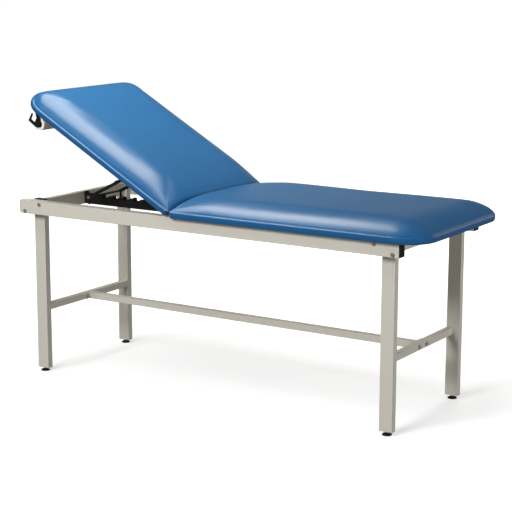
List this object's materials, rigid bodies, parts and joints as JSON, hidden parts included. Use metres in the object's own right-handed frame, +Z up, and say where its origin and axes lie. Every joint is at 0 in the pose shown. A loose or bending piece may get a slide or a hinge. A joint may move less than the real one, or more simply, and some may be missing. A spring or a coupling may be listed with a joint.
{
  "type": "treatment table",
  "caption": "Padded treatment table on a square tube frame, with a hinged backrest propped on a toothed bar and a paper roll under its head end.",
  "frame": {"origin": "on the floor, under the middle of the whole outline, with the backrest at rest", "axes": "+X along the table towards the foot end, +Y across it, +Z up"},
  "size_m": [1.747, 0.686, 1.1049],
  "materials": {
    "frame_paint": "satin",
    "black_paint": "satin",
    "black_plastic": "matte",
    "bright_steel": "satin",
    "plywood": "matte",
    "vinyl": "satin",
    "paper": "matte",
    "card": "matte"
  },
  "bodies": {
    "frame": {"side_rail_near": "frame_paint", "side_rail_far": "frame_paint", "rail_end_caps": "black_plastic", "leg_near_head": "frame_paint", "leg_far_head": "frame_paint", "leg_near_foot": "frame_paint", "leg_far_foot": "frame_paint", "leg_top_caps": "black_plastic", "leg_inserts": "black_plastic", "leg_plates": "frame_paint", "rail_bolts": "bright_steel", "cross_rail_head": "frame_paint", "cross_rail_foot": "frame_paint", "crossbar_head": "frame_paint", "crossbar_foot": "frame_paint", "stretcher": "frame_paint", "stretcher_end_plates": "frame_paint", "brace_bolts": "bright_steel", "brace_nuts": "bright_steel", "hinge_cross_member": "frame_paint", "toothed_bar": "black_paint", "toothed_bar_end_plates": "black_paint", "toothed_bar_bolts": "bright_steel", "seat_board": "plywood", "seat_cushion": "vinyl", "seat_spacers": "black_plastic", "seat_screws": "bright_steel", "seat_hinge_leaves": "bright_steel", "seat_hinge_screws": "bright_steel", "hinge_pins": "bright_steel"},
    "backrest": {"backrest_board": "plywood", "backrest_cushion": "vinyl", "backrest_hinge_leaves": "bright_steel", "backrest_hinge_screws": "bright_steel", "prop_brackets": "black_paint", "prop_bracket_screws": "bright_steel", "prop_pivot_pins": "bright_steel", "paper_holder_near": "black_paint", "paper_holder_far": "black_paint", "paper_holder_screws": "bright_steel", "paper_rod": "bright_steel"},
    "prop": {"prop_arm_near": "black_paint", "prop_arm_far": "black_paint", "prop_crossbar": "black_paint", "prop_crossbar_nuts": "bright_steel"},
    "paper": {"paper_roll": "paper", "paper_core": "card", "paper_hubs": "black_plastic"},
    "levelling_foot_near_head": {"foot_pad_near_head": "black_plastic", "foot_stem_near_head": "bright_steel"},
    "levelling_foot_far_head": {"foot_pad_far_head": "black_plastic", "foot_stem_far_head": "bright_steel"},
    "levelling_foot_near_foot": {"foot_pad_near_foot": "black_plastic", "foot_stem_near_foot": "bright_steel"},
    "levelling_foot_far_foot": {"foot_pad_far_foot": "black_plastic", "foot_stem_far_foot": "bright_steel"}
  },
  "joints": [
    {"name": "backrest_hinge", "type": "hinge", "parent": "frame", "child": "backrest", "pos_m": [-0.1555, 0, 0.7024], "axis": [0, 1, 0], "range_deg": [-29.4, 33.1]},
    {"name": "prop_pivot", "type": "hinge", "parent": "backrest", "child": "prop", "pos_m": [-0.42212, 0, 0.82853], "axis": [0, 1, 0], "range_deg": [-64.6, 57.4]},
    {"name": "paper_roll_spin", "type": "hinge", "parent": "backrest", "child": "paper", "pos_m": [-0.81069, 0, 0.98492], "axis": [0, 1, 0], "continuous": true},
    {"name": "levelling_foot_near_head_height", "type": "slide", "parent": "frame", "child": "levelling_foot_near_head", "axis": [0, 0, 1], "range_m": [-0.02, 0.0045]},
    {"name": "levelling_foot_far_head_height", "type": "slide", "parent": "frame", "child": "levelling_foot_far_head", "axis": [0, 0, 1], "range_m": [-0.02, 0.0045]},
    {"name": "levelling_foot_near_foot_height", "type": "slide", "parent": "frame", "child": "levelling_foot_near_foot", "axis": [0, 0, 1], "range_m": [-0.02, 0.0045]},
    {"name": "levelling_foot_far_foot_height", "type": "slide", "parent": "frame", "child": "levelling_foot_far_foot", "axis": [0, 0, 1], "range_m": [-0.02, 0.0045]}
  ],
  "couplings": [
    {"joint": "prop_pivot", "follows": "backrest_hinge", "ratio": -1.945}
  ]
}
